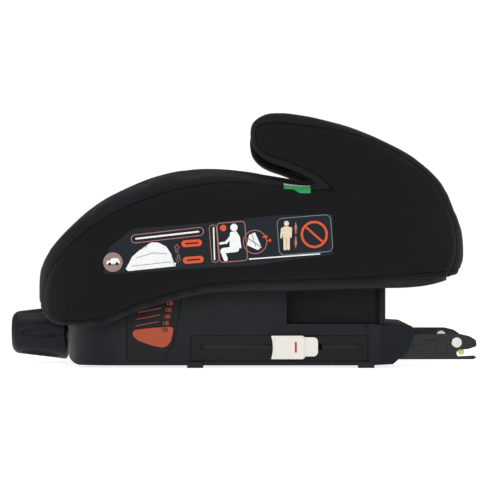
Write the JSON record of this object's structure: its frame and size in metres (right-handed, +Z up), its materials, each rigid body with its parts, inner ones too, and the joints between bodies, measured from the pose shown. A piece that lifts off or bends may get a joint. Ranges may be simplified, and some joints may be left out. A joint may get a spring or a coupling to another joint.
{
  "type": "booster seat",
  "caption": "Padded backless child booster with armrests on a height-adjusting base, with a front knob and sliding rear ISOFIX arms.",
  "frame": {"origin": "on the ground, midway between the knob's front and the ISOFIX tips, on the centre plane", "axes": "+Z up, -Y is the way the child faces, +Y towards the seat back, +X is the child's left"},
  "size_m": [0.434, 0.473, 0.2506],
  "materials": {
    "cover": "matte knit",
    "foam": "open-cell foam",
    "base_plastic": "fine texture",
    "inner_plastic": "plain",
    "panel_plastic": "fine texture",
    "white_plastic": "satin",
    "orange_plastic": "satin",
    "indicator": "satin",
    "slick_plastic": "smooth",
    "arm_steel": "black e-coat",
    "zinc_steel": "zinc plated",
    "claw_steel": "yellow zinc plated steel",
    "bronze": "sintered bronze",
    "rubber": "matte"
  },
  "bodies": {
    "base": {"base_housing": "base_plastic", "base_pan": "inner_plastic", "guide_posts": "inner_plastic", "rubber_feet": "rubber", "base_screws": "zinc_steel", "screw_bearings": "bronze", "scale_panels": "panel_plastic", "scale_markers": "orange_plastic", "scale_lines": "orange_plastic", "arm_guide_left": "slick_plastic", "arm_guide_right": "slick_plastic", "track_left": "panel_plastic", "track_right": "panel_plastic"},
    "seat": {"seat_cover": "cover", "seat_foam": "foam", "side_foam_left": "foam", "side_foam_right": "foam", "armrest_foam_left": "foam", "armrest_foam_right": "foam", "armrest_horn_left": "inner_plastic", "armrest_horn_right": "inner_plastic", "seat_shell": "inner_plastic", "lower_trim": "inner_plastic", "lifting_frame": "inner_plastic", "lifting_pins": "zinc_steel", "pin_bushes": "bronze", "frame_screws": "zinc_steel"},
    "carriage": {"ramp_plate_left": "inner_plastic", "ramp_plate_right": "inner_plastic", "carriage_beam": "inner_plastic", "drive_nut": "bronze", "carriage_tie": "zinc_steel"},
    "drive": {"lead_screw": "zinc_steel", "knob": "base_plastic", "retaining_rings": "zinc_steel"},
    "isofix": {"cross_tube": "arm_steel", "arm_spacers": "zinc_steel", "sear_pins": "arm_steel", "arm_plate_outer_left": "arm_steel", "arm_plate_inner_left": "arm_steel", "claw_rivet_left": "zinc_steel", "slider_left": "white_plastic", "arm_plate_outer_right": "arm_steel", "arm_plate_inner_right": "arm_steel", "claw_rivet_right": "zinc_steel", "slider_right": "white_plastic"},
    "claw_left": {"claw_left": "claw_steel"},
    "sear_left": {"sear_left": "zinc_steel"},
    "release_left": {"release_button_left": "white_plastic", "release_rod_left": "zinc_steel"},
    "flag_left": {"indicator_flag_left": "indicator"},
    "claw_right": {"claw_right": "claw_steel"},
    "sear_right": {"sear_right": "zinc_steel"},
    "release_right": {"release_button_right": "white_plastic", "release_rod_right": "zinc_steel"},
    "flag_right": {"indicator_flag_right": "indicator"}
  },
  "joints": [
    {"name": "seat_lift", "type": "slide", "parent": "base", "child": "seat", "axis": [0, 0.2079, 0.9781], "range_m": [-0.027, 0.006]},
    {"name": "carriage_slide", "type": "slide", "parent": "base", "child": "carriage", "axis": [0, 1, 0], "range_m": [-0.00902, 0.04023]},
    {"name": "knob_turn", "type": "hinge", "parent": "base", "child": "drive", "pos_m": [0, -0.2, 0.0315], "axis": [0, -1, 0], "range_deg": [-1806.8, 402.3]},
    {"name": "isofix_slide", "type": "slide", "parent": "base", "child": "isofix", "axis": [0, 1, 0], "range_m": [-0.055, 0.045]},
    {"name": "claw_turn_left", "type": "hinge", "parent": "isofix", "child": "claw_left", "pos_m": [0.14, 0.2165, 0.025], "axis": [-1, 0, 0], "range_deg": [0, 50], "stiffness_Nm_per_rad": 0.06, "springref_deg": -17.19},
    {"name": "flag_slide_left", "type": "slide", "parent": "isofix", "child": "flag_left", "axis": [0, -1, 0], "range_m": [0, 0.0031]},
    {"name": "release_press_left", "type": "slide", "parent": "isofix", "child": "release_left", "axis": [0, -1, 0], "range_m": [0, 0.004], "stiffness_N_per_m": 800, "springref_m": -0.002},
    {"name": "sear_turn_left", "type": "hinge", "parent": "isofix", "child": "sear_left", "pos_m": [0.14, 0.19, 0.026], "axis": [1, 0, 0], "range_deg": [0, 12.4]},
    {"name": "claw_turn_right", "type": "hinge", "parent": "isofix", "child": "claw_right", "pos_m": [-0.14, 0.2165, 0.025], "axis": [-1, 0, 0], "range_deg": [0, 50], "stiffness_Nm_per_rad": 0.06, "springref_deg": -17.19},
    {"name": "flag_slide_right", "type": "slide", "parent": "isofix", "child": "flag_right", "axis": [0, -1, 0], "range_m": [0, 0.0031]},
    {"name": "release_press_right", "type": "slide", "parent": "isofix", "child": "release_right", "axis": [0, -1, 0], "range_m": [0, 0.004], "stiffness_N_per_m": 800, "springref_m": -0.002},
    {"name": "sear_turn_right", "type": "hinge", "parent": "isofix", "child": "sear_right", "pos_m": [-0.14, 0.19, 0.026], "axis": [1, 0, 0], "range_deg": [0, 12.4]}
  ],
  "couplings": [
    {"joint": "carriage_slide", "follows": "seat_lift", "ratio": -1.4863},
    {"joint": "knob_turn", "follows": "seat_lift", "rad_per_m": 1167.3},
    {"joint": "flag_slide_left", "follows": "claw_turn_left", "m_per_rad": 0.0034377},
    {"joint": "sear_turn_left", "follows": "release_press_left", "rad_per_m": 52.36},
    {"joint": "flag_slide_right", "follows": "claw_turn_right", "m_per_rad": 0.0034377},
    {"joint": "sear_turn_right", "follows": "release_press_right", "rad_per_m": 52.36}
  ]
}
